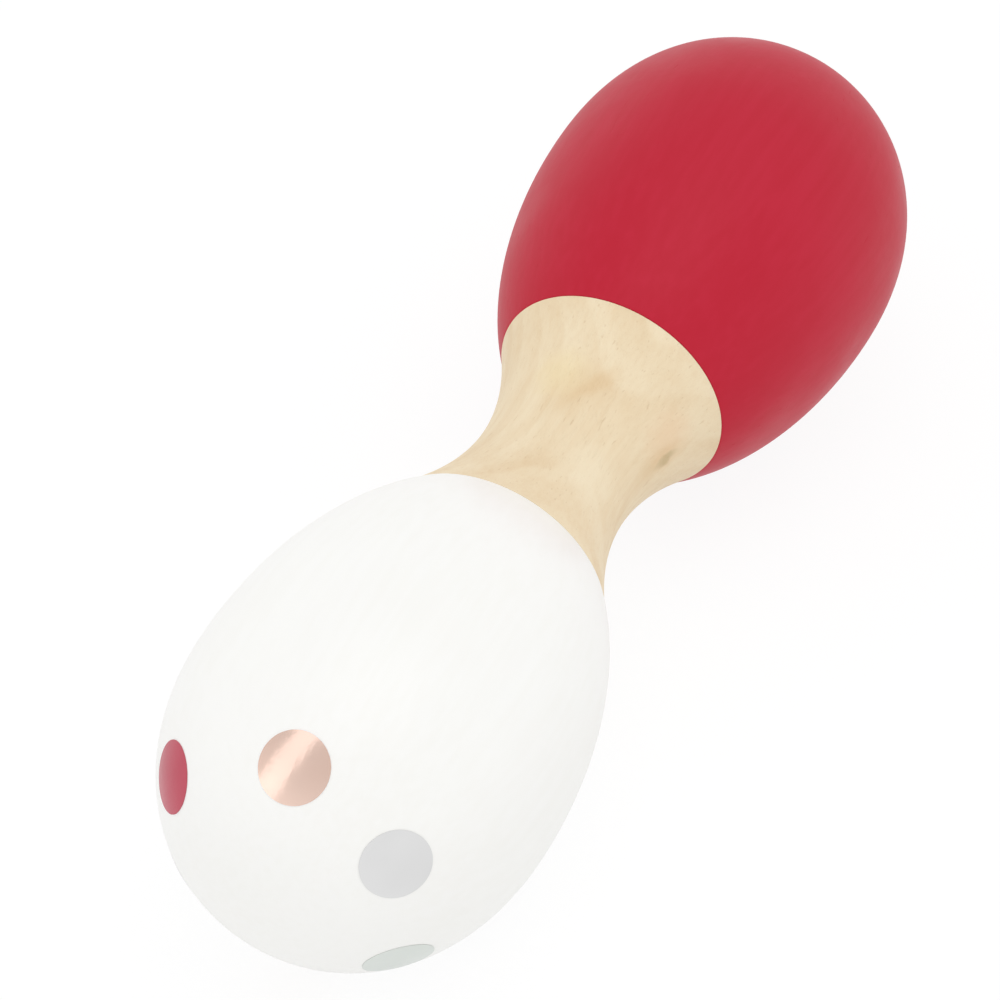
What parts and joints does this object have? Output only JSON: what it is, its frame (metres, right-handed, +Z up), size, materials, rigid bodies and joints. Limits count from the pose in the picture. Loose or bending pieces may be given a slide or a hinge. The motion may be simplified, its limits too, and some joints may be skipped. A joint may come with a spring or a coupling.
{
  "type": "double maraca",
  "caption": "Child's wooden double maraca: two egg-shaped rattle heads, one painted red and one white, glued on a waisted bare wood grip, with loose balls sealed inside.",
  "frame": {"origin": "on the table under the middle of the grip, as the maraca lies on its two bellies", "axes": "+X along the long axis towards the red head, +Z up from the table"},
  "size_m": [0.1516, 0.047, 0.047],
  "materials": {
    "bare_wood": "fine-sanded pale hardwood, thin matt oil",
    "red_paint": "satin red paint on turned wood",
    "white_paint": "satin white paint on turned wood, with a ring of small round dots near the free end",
    "ball_wood": "tumbled plain hardwood"
  },
  "bodies": {
    "maraca": {"handle": "bare_wood", "red_head": "red_paint", "white_head": "white_paint"},
    "red_ball_1": {"red_ball_1": "ball_wood"},
    "red_ball_2": {"red_ball_2": "ball_wood"},
    "red_ball_3": {"red_ball_3": "ball_wood"},
    "red_ball_4": {"red_ball_4": "ball_wood"},
    "red_ball_5": {"red_ball_5": "ball_wood"},
    "red_ball_6": {"red_ball_6": "ball_wood"},
    "red_ball_7": {"red_ball_7": "ball_wood"},
    "red_ball_8": {"red_ball_8": "ball_wood"},
    "red_ball_9": {"red_ball_9": "ball_wood"},
    "white_ball_1": {"white_ball_1": "ball_wood"},
    "white_ball_2": {"white_ball_2": "ball_wood"},
    "white_ball_3": {"white_ball_3": "ball_wood"},
    "white_ball_4": {"white_ball_4": "ball_wood"},
    "white_ball_5": {"white_ball_5": "ball_wood"},
    "white_ball_6": {"white_ball_6": "ball_wood"},
    "white_ball_7": {"white_ball_7": "ball_wood"},
    "white_ball_8": {"white_ball_8": "ball_wood"},
    "white_ball_9": {"white_ball_9": "ball_wood"}
  },
  "joints": [
    {"name": "red_ball_1_roll", "type": "hinge", "parent": "maraca", "child": "red_ball_1", "pos_m": [0.02845, 0, 0.0235], "axis": [1, 0, 0], "continuous": true},
    {"name": "red_ball_2_jump", "type": "slide", "parent": "maraca", "child": "red_ball_2", "axis": [0, 0, 1], "range_m": [0, 0.0199]},
    {"name": "red_ball_3_roll", "type": "hinge", "parent": "maraca", "child": "red_ball_3", "pos_m": [0.03725, 0, 0.0235], "axis": [1, 0, 0], "continuous": true},
    {"name": "red_ball_4_jump", "type": "slide", "parent": "maraca", "child": "red_ball_4", "axis": [0, 0, 1], "range_m": [0, 0.0199]},
    {"name": "red_ball_5_roll", "type": "hinge", "parent": "maraca", "child": "red_ball_5", "pos_m": [0.04605, 0, 0.0235], "axis": [1, 0, 0], "continuous": true},
    {"name": "red_ball_6_jump", "type": "slide", "parent": "maraca", "child": "red_ball_6", "axis": [0, 0, 1], "range_m": [0, 0.0199]},
    {"name": "red_ball_7_roll", "type": "hinge", "parent": "maraca", "child": "red_ball_7", "pos_m": [0.05485, 0, 0.0235], "axis": [1, 0, 0], "continuous": true},
    {"name": "red_ball_8_jump", "type": "slide", "parent": "maraca", "child": "red_ball_8", "axis": [0, 0, 1], "range_m": [0, 0.0199]},
    {"name": "red_ball_9_roll", "type": "hinge", "parent": "maraca", "child": "red_ball_9", "pos_m": [0.06365, 0, 0.0235], "axis": [1, 0, 0], "continuous": true},
    {"name": "white_ball_1_roll", "type": "hinge", "parent": "maraca", "child": "white_ball_1", "pos_m": [-0.02845, 0, 0.0235], "axis": [1, 0, 0], "continuous": true},
    {"name": "white_ball_2_jump", "type": "slide", "parent": "maraca", "child": "white_ball_2", "axis": [0, 0, 1], "range_m": [0, 0.0199]},
    {"name": "white_ball_3_roll", "type": "hinge", "parent": "maraca", "child": "white_ball_3", "pos_m": [-0.03725, 0, 0.0235], "axis": [1, 0, 0], "continuous": true},
    {"name": "white_ball_4_jump", "type": "slide", "parent": "maraca", "child": "white_ball_4", "axis": [0, 0, 1], "range_m": [0, 0.0199]},
    {"name": "white_ball_5_roll", "type": "hinge", "parent": "maraca", "child": "white_ball_5", "pos_m": [-0.04605, 0, 0.0235], "axis": [1, 0, 0], "continuous": true},
    {"name": "white_ball_6_jump", "type": "slide", "parent": "maraca", "child": "white_ball_6", "axis": [0, 0, 1], "range_m": [0, 0.0199]},
    {"name": "white_ball_7_roll", "type": "hinge", "parent": "maraca", "child": "white_ball_7", "pos_m": [-0.05485, 0, 0.0235], "axis": [1, 0, 0], "continuous": true},
    {"name": "white_ball_8_jump", "type": "slide", "parent": "maraca", "child": "white_ball_8", "axis": [0, 0, 1], "range_m": [0, 0.0199]},
    {"name": "white_ball_9_roll", "type": "hinge", "parent": "maraca", "child": "white_ball_9", "pos_m": [-0.06365, 0, 0.0235], "axis": [1, 0, 0], "continuous": true}
  ]
}
